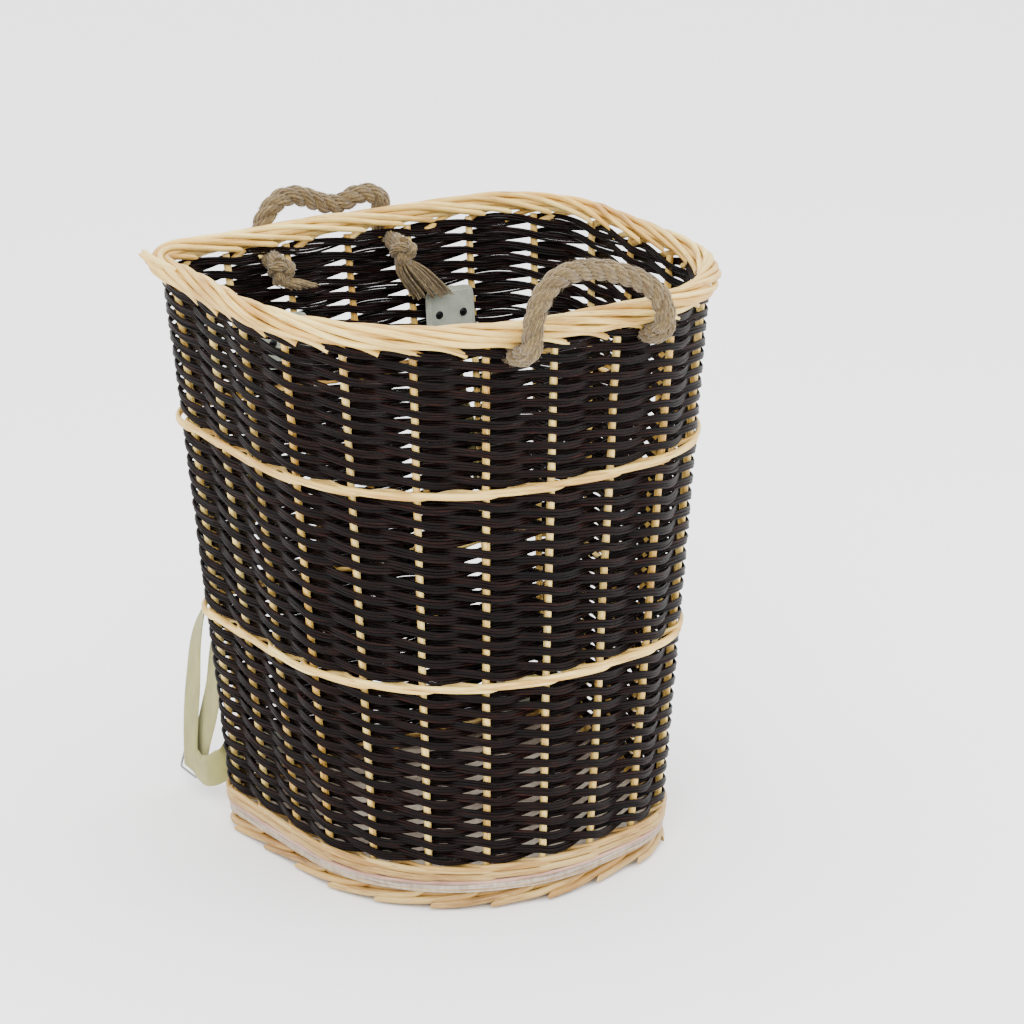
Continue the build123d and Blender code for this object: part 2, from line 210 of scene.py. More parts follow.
class Bundle:
    """Tubes and other shapes gathered into one mesh."""

    def __init__(self):
        self.points = []
        self.faces = []
        self.grain = []
        self.tint = []
        self.count = 0

    def add(self, points, faces, grain, tint):
        self.points.append(points)
        self.grain.append(grain)
        self.tint.append(np.full(len(points), tint))
        self.faces.extend([[i + self.count for i in face] for face in faces])
        self.count += len(points)

    def tube(
        self, points, radii, normals=None, sides=8, closed=False, tint=None, cut=0.0, start_cut=0.0,
    ):
        """A rod, yarn or wire along points; cut slants its end faces."""
        count = len(points)
        radii = np.broadcast_to(np.asarray(radii, float), count)
        tangents = directions(points, closed)
        if normals is None:
            normals = carried_normals(tangents)
        else:
            normals = normals - tangents * (normals * tangents).sum(1)[:, None]
            normals = normals / np.linalg.norm(normals, axis=1, keepdims=True)
        others = np.cross(tangents, normals)
        angles = 2 * math.pi * np.arange(sides) / sides
        cosines = np.cos(angles)
        sines = np.sin(angles)
        spread = normals[:, None] * cosines[None, :, None] + others[:, None] * sines[None, :, None]
        rings = points[:, None] + spread * radii[:, None, None]
        rings[-1] += tangents[-1] * (cut * radii[-1] * cosines)[:, None]
        rings[0] += tangents[0] * (start_cut * radii[0] * cosines)[:, None]
        along = np.concatenate([[0], np.cumsum(np.linalg.norm(np.diff(points, axis=0), axis=1))])
        along = along + random.uniform(0, 40)
        grain = np.stack([
            np.repeat(along[:, None], sides, 1),
            radii[:, None] * cosines[None],
            radii[:, None] * sines[None],
        ], -1).reshape(-1, 3)
        faces = []
        for i in range(count if closed else count - 1):
            k = (i + 1) % count
            for j in range(sides):
                m = (j + 1) % sides
                faces.append([i * sides + j, i * sides + m, k * sides + m, k * sides + j])
        rings = rings.reshape(-1, 3)
        if not closed:
            faces.append(list(range(sides))[::-1])
            faces.append([(count - 1) * sides + j for j in range(sides)])
        if tint is None:
            tint = random.uniform(0, 1)
        self.add(rings, faces, grain, tint)

    def piece(self, name, material, sharp=60):
        mesh = bpy.data.meshes.new(name)
        points = np.vstack(self.points)
        mesh.from_pydata(points.tolist(), [], self.faces)
        grain = mesh.attributes.new("grain", "FLOAT_VECTOR", "POINT")
        grain.data.foreach_set("vector", np.vstack(self.grain).astype(np.float32).ravel())
        tint = mesh.attributes.new("tint", "FLOAT", "POINT")
        tint.data.foreach_set("value", np.concatenate(self.tint).astype(np.float32))
        mesh.polygons.foreach_set("use_smooth", [True] * len(mesh.polygons))
        mesh.set_sharp_from_angle(angle=math.radians(sharp))
        mesh.materials.append(material)
        made = bpy.data.objects.new(name, mesh)
        bpy.context.scene.collection.objects.link(made)
        return made


# -------------------------------------------------------------------- materials

def rgb(red, green, blue):
    """Linear colour from screen values of 0 to 255."""
    screen = [value / 255 for value in (red, green, blue)]
    linear = [v / 12.92 if v <= 0.04045 else ((v + 0.055) / 1.055) ** 2.4 for v in screen]
    return (*linear, 1.0)


class Finish:
    """A node material under construction."""

    def __init__(self, name, roughness=0.5, specular=0.5):
        self.material = bpy.data.materials.new(name)
        self.material.use_nodes = True
        self.nodes = self.material.node_tree.nodes
        self.links = self.material.node_tree.links
        self.shader = self.nodes["Principled BSDF"]
        self.shader.inputs["Roughness"].default_value = roughness
        self.shader.inputs["Specular IOR Level"].default_value = specular

    def attribute(self, name, output="Vector"):
        node = self.nodes.new("ShaderNodeAttribute")
        node.attribute_name = name
        return node.outputs[output]

    def place(self):
        return self.nodes.new("ShaderNodeTexCoord").outputs["Object"]

    def scaled(self, vector, scale):
        node = self.nodes.new("ShaderNodeMapping")
        node.inputs["Scale"].default_value = scale
        self.links.new(vector, node.inputs["Vector"])
        return node.outputs["Vector"]

    def noise(self, vector, scale, detail=3.0, roughness=0.55):
        node = self.nodes.new("ShaderNodeTexNoise")
        node.inputs["Scale"].default_value = 1.0
        node.inputs["Detail"].default_value = detail
        node.inputs["Roughness"].default_value = roughness
        self.links.new(self.scaled(vector, scale), node.inputs["Vector"])
        return node.outputs["Fac"]

    def cells(self, vector, scale):
        node = self.nodes.new("ShaderNodeTexVoronoi")
        node.inputs["Scale"].default_value = 1.0
        self.links.new(self.scaled(vector, scale), node.inputs["Vector"])
        return node.outputs["Distance"]

    def wave(self, vector, scale, direction, distortion=0.0):
        node = self.nodes.new("ShaderNodeTexWave")
        node.bands_direction = direction
        node.inputs["Scale"].default_value = scale
        node.inputs["Distortion"].default_value = distortion
        self.links.new(vector, node.inputs["Vector"])
        return node.outputs["Fac"]

    def ramp(self, value, stops):
        node = self.nodes.new("ShaderNodeValToRGB")
        ramp = node.color_ramp
        while len(ramp.elements) < len(stops):
            ramp.elements.new(0.5)
        for element, (position, colour) in zip(ramp.elements, stops):
            element.position = position
            element.color = colour
        self.links.new(value, node.inputs["Fac"])
        return node.outputs["Color"]

    def mix(self, factor, first, second, blend="MIX"):
        node = self.nodes.new("ShaderNodeMix")
        node.data_type = "RGBA"
        node.blend_type = blend
        if isinstance(factor, float):
            node.inputs["Factor"].default_value = factor
        else:
            self.links.new(factor, node.inputs["Factor"])
        self.links.new(first, node.inputs["A"])
        self.links.new(second, node.inputs["B"])
        return node.outputs["Result"]

    def maths(self, operation, first, second):
        node = self.nodes.new("ShaderNodeMath")
        node.operation = operation
        for value, socket in zip((first, second), node.inputs):
            if isinstance(value, float):
                socket.default_value = value
            else:
                self.links.new(value, socket)
        return node.outputs["Value"]

    def bump(self, height, depth, strength=1.0):
        node = self.nodes.new("ShaderNodeBump")
        node.inputs["Distance"].default_value = depth
        node.inputs["Strength"].default_value = strength
        self.links.new(height, node.inputs["Height"])
        self.links.new(node.outputs["Normal"], self.shader.inputs["Normal"])

    def colour(self, value):
        self.links.new(value, self.shader.inputs["Base Color"])

    def roughness(self, value, low, high):
        node = self.nodes.new("ShaderNodeMapRange")
        node.inputs["To Min"].default_value = low
        node.inputs["To Max"].default_value = high
        self.links.new(value, node.inputs["Value"])
        self.links.new(node.outputs["Result"], self.shader.inputs["Roughness"])


def peeled_willow(name, pale, warm, deep):
    """Stripped willow: pale, with streaks along the rod and scars."""
    made = Finish(name, 0.5, 0.4)
    grain = made.attribute("grain")
    streaks = made.noise(grain, (45, 900, 900), 4.0)
    patches = made.noise(grain, (11, 90, 90), 2.0)
    fine = made.maths("MULTIPLY", streaks, 0.45)
    broad = made.maths("MULTIPLY", patches, 0.55)
    mixed = made.maths("ADD", fine, broad)
    wood = made.ramp(mixed, [(0.3, deep), (0.43, warm), (0.55, pale), (0.75, pale)])
    shade = made.ramp(made.attribute("tint", "Fac"), [
        (0.0, rgb(212, 188, 146)), (0.5, rgb(255, 255, 255)), (1.0, rgb(240, 222, 186)),
    ])
    wood = made.mix(1.0, wood, shade, "MULTIPLY")
    scars = made.ramp(made.cells(grain, (26, 190, 190)), [
        (0.05, rgb(120, 82, 48)), (0.13, rgb(255, 255, 255)),
    ])
    wood = made.mix(0.7, wood, scars, "MULTIPLY")
    made.colour(wood)
    made.roughness(streaks, 0.38, 0.62)
    made.bump(mixed, 0.0006, 0.7)
    return made.material


def bark_willow(name, dark, mid, ruddy):
    """Unpeeled willow, boiled nearly black, with bark streaks and a dull gloss."""
    made = Finish(name, 0.5, 0.08)
    grain = made.attribute("grain")
    streaks = made.noise(grain, (38, 800, 800), 4.0, 0.6)
    patches = made.noise(grain, (7, 50, 50), 2.0)
    bark = made.ramp(streaks, [(0.36, dark), (0.56, mid), (0.78, ruddy)])
    shade = made.ramp(made.attribute("tint", "Fac"), [
        (0.0, rgb(150, 150, 165)), (0.55, rgb(230, 215, 215)), (1.0, rgb(255, 205, 190)),
    ])
    bark = made.mix(1.0, bark, shade, "MULTIPLY")
    worn = made.ramp(patches, [(0.62, rgb(0, 0, 0)), (0.74, rgb(150, 150, 150))])
    pale = made.ramp(streaks, [(0.3, mid), (0.7, ruddy)])
    bark = made.mix(worn, bark, pale)
    made.colour(bark)
    made.roughness(streaks, 0.32, 0.6)
    made.bump(streaks, 0.0005, 0.8)
    return made.material


def jute(name):
    made = Finish(name, 0.85, 0.2)
    grain = made.attribute("grain")
    fibres = made.noise(grain, (260, 2600, 2600), 3.0)
    patches = made.noise(grain, (30, 120, 120), 2.0)
    yarn = made.ramp(fibres, [
        (0.32, rgb(46, 37, 21)), (0.5, rgb(110, 95, 62)), (0.7, rgb(174, 158, 114)),
    ])
    shade = made.ramp(patches, [(0.3, rgb(205, 190, 170)), (0.65, rgb(255, 252, 246))])
    yarn = made.mix(1.0, yarn, shade, "MULTIPLY")
    tone = made.ramp(made.attribute("tint", "Fac"), [
        (0.0, rgb(215, 205, 195)), (1.0, rgb(255, 250, 240)),
    ])
    made.colour(made.mix(1.0, yarn, tone, "MULTIPLY"))
    made.shader.inputs["Sheen Weight"].default_value = 0.25
    made.shader.inputs["Sheen Roughness"].default_value = 0.6
    made.bump(fibres, 0.0004, 0.8)
    return made.material


def cotton(name, light, dark):
    """Ribbed cotton webbing."""
    made = Finish(name, 0.8, 0.2)
    grain = made.attribute("grain")
    ribs = made.wave(grain, 190.0, "X", 0.6)
    warp = made.wave(grain, 240.0, "Y", 0.4)
    weave = made.maths("MULTIPLY", ribs, warp)
    soil = made.noise(grain, (24, 60, 60), 3.0)
    # The cloth darkens where the weave's bump height is low: painted shade in the weave's hollows.
    cloth = made.ramp(weave, [(0.0, dark), (0.6, light)])
    shade = made.ramp(soil, [(0.3, rgb(225, 225, 215)), (0.65, rgb(255, 255, 255))])
    made.colour(made.mix(1.0, cloth, shade, "MULTIPLY"))
    made.shader.inputs["Sheen Weight"].default_value = 0.2
    made.bump(weave, 0.0005, 0.9)
    return made.material


def felt(name):
    made = Finish(name, 0.9, 0.15)
    grain = made.attribute("grain")
    fibres = made.noise(grain, (1400, 1400, 1400), 4.0, 0.7)
    patches = made.noise(grain, (60, 60, 60), 2.0)
    cloth = made.ramp(fibres, [
        (0.3, rgb(116, 120, 108)), (0.55, rgb(160, 164, 150)), (0.75, rgb(190, 192, 178)),
    ])
    shade = made.ramp(patches, [(0.3, rgb(225, 228, 226)), (0.7, rgb(255, 255, 255))])
    made.colour(made.mix(1.0, cloth, shade, "MULTIPLY"))
    made.shader.inputs["Sheen Weight"].default_value = 0.3
    made.bump(fibres, 0.0006, 0.8)
    return made.material


def plywood(name):
    """Board with thin layers showing on its edge."""
    made = Finish(name, 0.7, 0.25)
    place = made.place()
    layers = made.noise(place, (14, 14, 700), 3.0)
    streaks = made.noise(place, (180, 180, 60), 4.0)
    wood = made.ramp(layers, [
        (0.35, rgb(118, 104, 92)), (0.5, rgb(166, 154, 140)), (0.7, rgb(198, 188, 172)),
    ])
    shade = made.ramp(streaks, [(0.3, rgb(205, 198, 192)), (0.7, rgb(255, 255, 255))])
    made.colour(made.mix(1.0, wood, shade, "MULTIPLY"))
    made.bump(streaks, 0.0005, 0.7)
    return made.material


def metal(name, light, dark, roughness):
    made = Finish(name, roughness, 0.5)
    made.shader.inputs["Metallic"].default_value = 1.0
    grain = made.attribute("grain")
    marks = made.noise(grain, (120, 700, 700), 3.0)
    made.colour(made.ramp(marks, [(0.3, dark), (0.7, light)]))
    made.roughness(marks, roughness - 0.08, roughness + 0.12)
    made.bump(marks, 0.0001, 0.4)
    return made.material


peeled = peeled_willow("peeled_willow", rgb(234, 207, 126), rgb(200, 162, 82), rgb(126, 82, 32))
# A darker copy of the peeled willow for the foot border and the base wale: painted shade on the low
# rods.
shade_darkened = peeled_willow("shade_darkened_willow", rgb(184, 158, 100), rgb(150, 116, 62), rgb(92, 60, 26))
ruddy_willow = peeled_willow(
    "ruddy_willow", rgb(176, 140, 122), rgb(150, 112, 96), rgb(108, 76, 62),
)
bark = bark_willow("dark_willow", rgb(6, 4, 4), rgb(18, 10, 8), rgb(60, 31, 22))
rope_jute = jute("jute_rope")
web_outer = cotton("cotton_webbing", rgb(178, 174, 110), rgb(122, 116, 62))
thread = cotton("thread", rgb(228, 224, 204), rgb(180, 174, 150))
patch_felt = felt("felt_patch")
board_edge = plywood("plywood")
steel = metal("slider_steel", rgb(150, 150, 150), rgb(96, 96, 98), 0.3)
black_metal = metal("rivet_metal", rgb(52, 52, 54), rgb(24, 24, 26), 0.42)


# ----------------------------------------------------------------- woven wall

def weave_panel(name, node, bottom, top, rows):
    """Rows of paired weaving: two strands of three rods twist between the stakes."""
    bundle = Bundle()
    steps = 10
    u = np.arange(STAKES * steps) / steps
    count = len(u)
    pitch = (top - bottom) / rows
    rod = pitch / 9.6
    for row in range(rows):
        level = bottom + pitch * (row + 0.5)
        share, middle = between_stakes(u, level)
        drift = smooth_noise(count, 13, -0.0012, 0.0012, True)
        for strand in range(2):
            turn = math.pi * (u + strand)
            reach = STAKE_RADIUS + rod + 0.0002
            lift = smooth_noise(count, 44, 0.80, 1.12, True)
            swing = np.sign(np.sin(turn)) * np.abs(np.sin(turn)) ** 0.7
            squeeze = 0.84 + 0.08 * np.abs(np.sin(turn))
            for place in (-1, 0, 1):
                radii = rod * smooth_noise(count, 15, 0.84, 1.14, True)
                wander = smooth_noise(count, 44, -0.0003, 0.0003, True)
                roll = smooth_noise(count, 33, -0.45, 0.45, True)
                out = middle + reach * np.cos(turn) + np.sin(roll) * rod * place
                beside = place * 2 * rod * squeeze * np.cos(roll * 0.5)
                z = level + drift + pitch * 0.26 * lift * swing + beside + wander
                points, normals = on_wall(share, z, out)
                bundle.tube(points, radii, normals, 6, True)
    panel = bundle.piece(name, bark)
    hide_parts(node)
    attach(panel, "basket")


weave_panel("weave_upper_rods", "weave_upper", 0.504, 0.6655, 10)
weave_panel("weave_middle_rods", "weave_middle", 0.276, 0.4925, 12)
weave_panel("weave_lower_rods", "weave_lower", 0.054, 0.2655, 12)


def wale_rods(bundle, level, rod, rise, tint=None):
    """Three rods that each pass before two stakes and behind one, with cut ends."""
    steps = 14
    for number in range(3):
        start = 2 + number + random.uniform(0, 4)
        length = STAKES + random.uniform(0.4, 0.9)
        u = start + np.arange(int(length * steps)) / steps
        share, middle = between_stakes(u, level)
        phase = ((u - number) / 3) % 1
        behind = 0.5 - 0.5 * np.cos(2 * math.pi * np.clip((phase - 0.66) / 0.34, 0, 1))
        front = STAKE_RADIUS + rod
        out = middle + front - behind * 2 * front
        climb = np.where(phase < 0.66, phase / 0.66, 1 - (phase - 0.66) / 0.34)
        z = level + rise * (2 * climb - 1) + smooth_noise(len(u), 30, -0.0004, 0.0004)
        points, normals = on_wall(share, z, out)
        radii = rod * smooth_noise(len(u), 9, 0.88, 1.08)
        bundle.tube(points, radii, normals, 8, tint=tint, cut=2.0, start_cut=1.5)


for name, node, level in (
    ("band_upper_rods", "band_upper", 0.498),
    ("band_lower_rods", "band_lower", 0.2705),
):
    bundle = Bundle()
    wale_rods(bundle, level, 0.0030, 0.0029)
    band = bundle.piece(name, peeled)
    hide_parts(node)
    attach(band, "basket")

bundle = Bundle()
wale_rods(bundle, 0.0492, 0.0030, 0.0026)
wale_rods(bundle, 0.0405, 0.0030, 0.0026)
# The base wale rods take the darker willow copy: painted shade.
wale = bundle.piece("base_wale_rods", shade_darkened)
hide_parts("base_wale")
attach(wale, "basket")

bundle = Bundle()
u = np.arange(STAKES * 12) / 12
share, middle = between_stakes(u, 0.034)
points, normals = on_wall(share, 0.0335 + smooth_noise(len(u), 30, -0.0004, 0.0004, True), 0.0018)
bundle.tube(points, 0.0027 * smooth_noise(len(u), 20, 0.85, 1.1, True), normals, 8, True)
tie_rod = bundle.piece("base_ruddy_rod", ruddy_willow)
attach(tie_rod, "basket")

for number in range(STAKES):
    bundle = Bundle()
    t = np.linspace(0, 1, 60)
    line = stake_foot[number] * (1 - t[:, None]) + stake_head[number] * t[:, None]
    line[:, 0] += smooth_noise(60, 9, -0.0005, 0.0005)
    line[:, 1] += smooth_noise(60, 9, -0.0005, 0.0005)
    bundle.tube(line, STAKE_RADIUS * smooth_noise(60, 12, 0.97, 1.04), sides=14)
    stake = bundle.piece(f"stake_rod_{number + 1:02d}", peeled)
    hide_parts(f"stake_{number + 1:02d}")
    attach(stake, "basket")


# ------------------------------------------------------------- rim and foot

def border_rod(bundle, start, stations, rod, cut, steps=9, tint=None, lay=0.0006):
    """A rod laid along the border through stations of (stakes on, height, outset)."""
    stations = np.array(stations)
    first, last = stations[0, 0], stations[-1, 0]
    at = np.linspace(first, last, int((last - first) * steps) + 2)
    fine = np.linspace(0, 1, len(at))
    z = np.interp(at, stations[:, 0], stations[:, 1])
    out = np.interp(at, stations[:, 0], stations[:, 2])
    for _ in range(2):
        z[1:-1] = (z[:-2] + 2 * z[1:-1] + z[2:]) / 4
        out[1:-1] = (out[:-2] + 2 * out[1:-1] + out[2:]) / 4
    z = z + smooth_noise(len(at), 6, -lay, lay)
    out = out + smooth_noise(len(at), 6, -lay, lay)
    share, _ = between_stakes(start + at, float(stations[:, 1].mean()))
    points, normals = on_wall(share, z, out)
    radii = rod * (1.06 - 0.16 * fine) * random.uniform(0.92, 1.08)
    bundle.tube(points, radii, normals, 10, tint=tint, cut=cut)


RIM_STATIONS = [
    (-0.10, 0.6560, -0.0030),
    (0.10, 0.6640, -0.0010),
    (0.30, 0.6690, 0.0045),
    (0.70, 0.6700, 0.0085),
    (1.20, 0.6755, 0.0088),
    (1.75, 0.6825, 0.0062),
    (2.20, 0.6865, 0.0005),
    (2.70, 0.6872, -0.0055),
    (3.10, 0.6830, -0.0108),
    (3.60, 0.6750, -0.0122),
    (3.95, 0.6700, -0.0125),
]
bundle = Bundle()
for number in range(34):
    start = number * STAKES / 34 + random.uniform(-0.12, 0.12)
    border_rod(bundle, start, RIM_STATIONS, 0.0036, -2.5, lay=0.0013)
for level, out in ((0.6725, -0.002), (0.6790, 0.002), (0.6790, -0.0055)):
    u = np.arange(STAKES * 8) / 8
    share, _ = between_stakes(u, 0.665)
    points, normals = on_wall(share, level, out)
    bundle.tube(points, 0.0044, normals, 8, True)
for start, stations in (
    (17.95, [(0, 0.6700, 0.004), (0.25, 0.6760, 0.008), (0.48, 0.6830, 0.011), (0.62, 0.6850, 0.0155)]),
    (17.75, [(0, 0.6820, 0.002), (0.40, 0.6860, 0.005), (0.75, 0.6870, 0.010), (0.95, 0.6855, 0.0150)]),
    (18.75, [(0, 0.6750, 0.0150), (-0.30, 0.6790, 0.0100), (-0.80, 0.6850, 0.004)][::-1]),
):
    border_rod(bundle, start, stations, 0.0036, 2.0)
rim = bundle.piece("rim_border_rods", peeled)
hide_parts("rim_border")
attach(rim, "basket")

TAIL_STATIONS = [
    (0.00, 0.0300, -0.0050),
    (0.05, 0.0205, -0.0050),
    (0.30, 0.0155, -0.0035),
    (0.90, 0.0112, -0.0010),
    (1.40, 0.0078, 0.0005),
    (1.85, 0.0055, 0.0022),
]
INNER_STATIONS = [
    (0.00, 0.0160, -0.0100),
    (0.60, 0.0150, -0.0120),
    (1.20, 0.0100, -0.0160),
    (1.90, 0.0055, -0.0210),
    (2.50, 0.0055, -0.0220),
]
bundle = Bundle()
for number in range(STAKES):
    border_rod(bundle, number, TAIL_STATIONS, 0.0048, 2.2)
    border_rod(bundle, number + 0.4, INNER_STATIONS, 0.0048, 1.0)
for level, out in ((0.0165, -0.0075), (0.0062, -0.0100), (0.0160, -0.0185), (0.0250, -0.0020)):
    u = np.arange(STAKES * 8) / 8
    share, _ = between_stakes(u, 0.022)
    points, normals = on_wall(share, level, out)
    bundle.tube(points, 0.0052, normals, 8, True)
# The foot border rods take the darker willow copy: painted shade.
foot = bundle.piece("foot_border_rods", shade_darkened)
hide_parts("foot_border")
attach(foot, "basket")

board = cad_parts["base_board"]
board.data.materials.clear()
board.data.materials.append(board_edge)


# ---------------------------------------------------------------- rope handles

ROPE_RADIUS = 0.012
ROPE_LAY = 0.050
FRONT_ROUTE = [
    (-0.070, -0.180, 0.650),
    (-0.070, -0.244, 0.650),
    (-0.070, -0.244, 0.700),
    (-0.042, -0.236, 0.738),
    (0.010, -0.230, 0.742),
    (0.070, -0.236, 0.722),
    (0.096, -0.244, 0.696),
    (0.096, -0.244, 0.650),
    (0.096, -0.180, 0.650),
]
BACK_ROUTE = [
    (-0.117, 0.232, 0.650),
    (-0.117, 0.298, 0.650),
    (-0.102, 0.298, 0.698),
    (-0.070, 0.298, 0.717),
    (-0.010, 0.298, 0.688),
    (0.020, 0.299, 0.704),
    (0.055, 0.298, 0.696),
    (0.043, 0.298, 0.650),
    (0.043, 0.232, 0.650),
]


def resampled(line, step):
    """The same line with points an even step apart."""
    run = np.concatenate([[0], np.cumsum(np.linalg.norm(np.diff(line, axis=0), axis=1))])
    at = np.linspace(0, run[-1], max(4, int(run[-1] / step)))
    return np.stack([np.interp(at, run, line[:, axis]) for axis in range(3)], -1)


def rope_line(name, route):
    """Smooth line of a rope, read from a NURBS spline with the route as its control points."""
    curve = bpy.data.curves.new(name, "CURVE")
    curve.dimensions = "3D"
    curve.resolution_u = 24
    spline = curve.splines.new("NURBS")
    spline.points.add(len(route) - 1)
    for point, place in zip(spline.points, route):
        point.co = (*place, 1)
    spline.order_u = 3
    spline.use_endpoint_u = True
    holder = bpy.data.objects.new(name, curve)
    bpy.context.scene.collection.objects.link(holder)
    bpy.context.view_layer.update()
    mesh = bpy.data.meshes.new_from_object(holder)
    line = np.array([vertex.co for vertex in mesh.vertices])
    bpy.data.objects.remove(holder)
    bpy.data.curves.remove(curve)
    bpy.data.meshes.remove(mesh)
    return line


def lay_rope(bundle, line, radius, lay, step=0.0022, strands=3, yarns=8):
    """Three twisted strands, each with yarns twisted the other way."""
    line = resampled(line, step)
    tangents = directions(line)
    normals = carried_normals(tangents)
    others = np.cross(tangents, normals)
    run = np.linspace(0, np.linalg.norm(np.diff(line, axis=0), axis=1).sum(), len(line))
    for strand in range(strands):
        angle = 2 * math.pi * (strand / strands + run / lay)
        outward = normals * np.cos(angle)[:, None] + others * np.sin(angle)[:, None]
        centre = line + outward * radius * 0.46
        bundle.tube(centre, radius * 0.46, sides=8, tint=0.3)
        heading = directions(centre)
        outward = outward - heading * (outward * heading).sum(1)[:, None]
        outward = outward / np.linalg.norm(outward, axis=1, keepdims=True)
        sideways = np.cross(heading, outward)
        for yarn in range(yarns):
            inner = 2 * math.pi * (yarn / yarns) - 2 * math.pi * run / (lay * 0.62)
            spread = outward * np.cos(inner)[:, None] + sideways * np.sin(inner)[:, None]
            wander = smooth_noise(len(line), 24, 0.94, 1.08)
            place = centre + spread * (radius * 0.41 * wander)[:, None]
            bundle.tube(place, radius * 0.14 * smooth_noise(len(line), 40, 0.85, 1.15), sides=6)


def fuzz(bundle, line, radius, count, reach):
    """Loose fibres standing off a rope."""
    line = resampled(line, 0.002)
    tangents = directions(line)
    normals = carried_normals(tangents)
    others = np.cross(tangents, normals)
    for _ in range(count):
        i = random.integers(1, len(line) - 1)
        angle = random.uniform(0, 2 * math.pi)
        outward = normals[i] * math.cos(angle) + others[i] * math.sin(angle)
        lean = tangents[i] * random.uniform(-1.2, 1.2)
        lean = lean + np.cross(tangents[i], outward) * random.uniform(-1, 1)
        length = random.uniform(0.35, 1.0) * reach
        t = np.linspace(0, 1, 5)[:, None]
        base = line[i] + outward * radius * 0.84
        hair = base + (outward * 0.55 + lean) * t * length + outward * t * (1 - t) * length * 0.5
        bundle.tube(hair, 0.00012, sides=3)


def knot(bundle, centre, size):
    """The stop knot on a rope's inner end."""
    t = np.linspace(0, 2 * math.pi, 90, endpoint=False)
    shape = np.stack([
        np.sin(t) + 2 * np.sin(2 * t),
        -np.sin(3 * t) * 1.5,
        np.cos(t) - 2 * np.cos(2 * t),
    ], -1) / 3
    line = centre + shape * (size - 0.0062)
    line = np.vstack([line, line[:1]])
    lay_rope(bundle, line, 0.0068, 0.034, 0.0024, 3, 6)


def tassel(bundle, neck, hem, half_x, half_y, strands):
    """Unlaid rope: yarns hanging from the knot and spreading to the hem."""
    neck, hem = np.array(neck), np.array(hem)
    for _ in range(strands):
        angle = random.uniform(0, 2 * math.pi)
        spread = math.sqrt(random.uniform(0, 1))
        side = np.array([math.cos(angle), math.sin(angle), 0.0])
        reach = random.uniform(0.82, 1.0)
        t = np.linspace(0, 1, 14)[:, None]
        top = neck + side * [0.0085, 0.0075, 0] * spread
        flare = side * [half_x, half_y, 0] * spread
        end = hem + flare * 0.93 + (neck - hem) * (1 - reach)
        line = top + (end - top) * t
        line = line + flare * 0.35 * np.sin(math.pi * t) * (1 - t)
        sway = smooth_noise(14, 5, -0.0016, 0.0016)
        line[:, 0] += sway * t[:, 0]
        line[:, 1] += smooth_noise(14, 5, -0.001, 0.001) * t[:, 0]
        bundle.tube(line, 0.00115 * (1.1 - 0.55 * t[:, 0]), sides=5)
    bundle.tube(np.linspace(neck + [0, 0, 0.004], neck - [0, 0, 0.004], 4), 0.0102, sides=12, tint=0.2)


TASSELS = {
    "back_left": ((-0.091, 0.230, 0.621), 0.023, 0.012),
    "back_right": ((0.083, 0.229, 0.583), 0.029, 0.012),
    "front_left": ((-0.068, -0.172, 0.604), 0.020, 0.012),
    "front_right": ((0.094, -0.172, 0.604), 0.020, 0.012),
}
for place, route, length in (("front", FRONT_ROUTE, 0.405), ("back", BACK_ROUTE, 0.365)):
    body = f"handle_{place}"
    line = rope_line(f"route_{place}", route)
    bundle = Bundle()
    lay_rope(bundle, line, ROPE_RADIUS, ROPE_LAY)
    rope = bundle.piece(f"rope_{place}", rope_jute)
    ends = [f"rope_{place}_end_left", f"rope_{place}_end_right"]
    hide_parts(f"rope_{place}_arch", *ends)
    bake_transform(rope)
    bundle = Bundle()
    fuzz(bundle, line, ROPE_RADIUS, 1500, 0.006)
    hairs = bundle.piece(f"rope_{place}_fibres", rope_jute)
    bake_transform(hairs)
    for hand, end in (("left", route[0]), ("right", route[-1])):
        bundle = Bundle()
        centre = np.array(end) - [0, 0, 0.007]
        knot(bundle, centre, 0.0175)
        made = bundle.piece(f"rope_{place}_knot_{hand}", rope_jute)
        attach(made, "basket")
        bundle = Bundle()
        hem, half_x, half_y = TASSELS[f"{place}_{hand}"]
        tassel(bundle, centre - [0, 0, 0.010], hem, half_x, half_y, 110)
        made = bundle.piece(f"tassel_{place}_{hand}_yarns", rope_jute)
        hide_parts(f"tassel_{place}_{hand}")
        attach(made, "basket")


# -------------------------------------------------------------- shoulder straps

WEB_WIDTH = 0.038
WEB_THICKNESS = 0.0024
WEB_OUT = 4.4
WEB_STEP = 0.0016
WALL_THICKNESS = 16
PATCH_GAP = 1.6
PATCH_THICKNESS = 2.5
RIVET_LIFT = 1.4
ALONG_X = (1, 0, 0)
ALONG_Y = (0, 1, 0)
ALONG_Z = (0, 0, 1)
UP_THE_WALL = (0, 0.12, 0.99)


def back_y(x, z, out=0.0):
    """Y of the flat back wall's outer face, in millimetres like its arguments."""
    share = (z - 22) / 643
    return 201 * (1 - share) + 272 * share - abs(x) * (0.0255 + 0.0135 * share) + 3 + out


